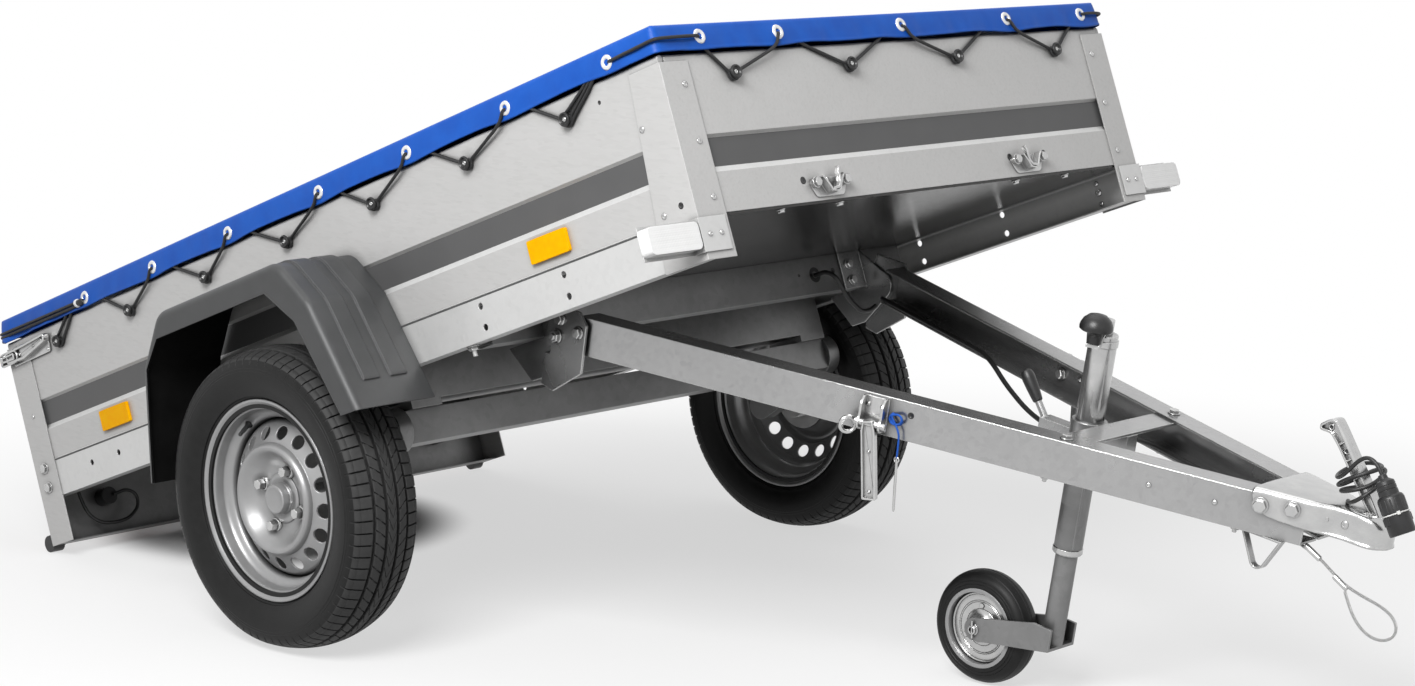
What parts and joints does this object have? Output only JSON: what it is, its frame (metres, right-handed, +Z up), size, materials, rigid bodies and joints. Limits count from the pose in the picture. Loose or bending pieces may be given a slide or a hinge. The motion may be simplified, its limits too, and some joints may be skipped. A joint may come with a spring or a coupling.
{
  "type": "tipping utility trailer",
  "caption": "Single-axle steel utility trailer with a laced flat cover, its bed tipped on the rear feet about a hinged V drawbar that stands on a jockey wheel.",
  "frame": {"origin": "on the ground, under the middle of the trailer's length and width", "axes": "+X forward to the coupling, +Y to the trailer's left, +Z up from the ground"},
  "size_m": [2.9339, 1.534, 1.1454],
  "materials": {
    "galvanised": "hot-dip galvanised sheet, satin",
    "zinc": "bright zinc plate",
    "dark_steel": "dark grey",
    "cover_cloth": "coated cloth, semi-gloss",
    "floor_board": "film-faced board, smooth",
    "road_tyre": "matt rubber",
    "solid_rubber": "matt rubber",
    "black_plastic": "moulded",
    "guard_plastic": "moulded, grained",
    "amber_plastic": "prismatic reflector",
    "white_plastic": "lamp lens",
    "red_plastic": "lamp lens",
    "wheel_silver": "silver paint",
    "black_cable": "cable sheath",
    "steel_rope": "wire rope"
  },
  "bodies": {
    "bed": {"axle_beam": "galvanised", "axle_member": "galvanised", "cover": "cover_cloth", "floor": "floor_board", "front_beam": "galvanised", "front_markers": "white_plastic", "front_posts": "galvanised", "front_wall": "galvanised", "harness_tail": "black_cable", "hinge_brackets": "galvanised", "lacing_knobs": "black_plastic", "lamp_lead": "black_cable", "lamp_plugs": "black_plastic", "latch_saddles": "zinc", "marker_brackets": "galvanised", "mudguard_left": "guard_plastic", "mudguard_right": "guard_plastic", "rear_feet": "solid_rubber", "rear_panel": "galvanised", "rear_posts": "galvanised", "side_rail_left": "galvanised", "side_rail_right": "galvanised", "side_reflectors": "amber_plastic", "side_wall_left": "galvanised", "side_wall_right": "galvanised", "swing_arms": "dark_steel", "tail_lamps": "red_plastic", "tailgate_hinges": "galvanised", "tailgate_latches": "zinc"},
    "tailgate": {"tailgate": "galvanised"},
    "drawbar": {"coupling_body": "zinc", "coupling_handle": "zinc", "cross_strip": "galvanised", "drawbar_arm_left": "galvanised", "drawbar_arm_right": "galvanised", "harness": "black_cable", "hinge_plates": "galvanised", "jockey_clamp": "zinc", "jockey_crank": "zinc", "jockey_grips": "black_plastic", "jockey_tube": "zinc", "plug": "black_plastic", "plug_lead": "black_cable", "safety_cable": "steel_rope", "support_loop": "zinc", "tilt_latches": "zinc"},
    "jockey_nut": {"jockey_nut": "zinc"},
    "jockey_fork": {"jockey_fork": "zinc"},
    "jockey_wheel": {"jockey_rim": "wheel_silver", "jockey_tyre": "solid_rubber"},
    "wheel_left": {"tyre_left": "road_tyre", "rim_left": "wheel_silver", "hub_left": "zinc"},
    "wheel_right": {"tyre_right": "road_tyre", "rim_right": "wheel_silver", "hub_right": "zinc"}
  },
  "joints": [
    {"name": "bed_tilt", "type": "hinge", "parent": "bed", "child": "drawbar", "pos_m": [0.04952, 0, 0.58667], "axis": [0, -1, 0], "range_deg": [0, 29.65]},
    {"name": "tailgate_hinge", "type": "hinge", "parent": "bed", "child": "tailgate", "pos_m": [-1.33284, 0, 0.15904], "axis": [0, -1, 0], "range_deg": [0, 90]},
    {"name": "wheel_left_spin", "type": "hinge", "parent": "bed", "child": "wheel_left", "pos_m": [-0.38092, 0.682, 0.2738], "axis": [0, 1, 0], "continuous": true},
    {"name": "wheel_right_spin", "type": "hinge", "parent": "bed", "child": "wheel_right", "pos_m": [-0.38092, -0.682, 0.2738], "axis": [0, 1, 0], "continuous": true},
    {"name": "jockey_lift", "type": "slide", "parent": "drawbar", "child": "jockey_nut", "axis": [0.1642, 0, 0.9864], "range_m": [-0.06, 0.12]},
    {"name": "jockey_swivel", "type": "hinge", "parent": "jockey_nut", "child": "jockey_fork", "pos_m": [0.85839, 0, 0.45204], "axis": [0.1642, 0, 0.9864], "continuous": true},
    {"name": "jockey_wheel_spin", "type": "hinge", "parent": "jockey_fork", "child": "jockey_wheel", "pos_m": [0.6599, 0, 0.1], "axis": [0, 1, 0], "continuous": true}
  ]
}
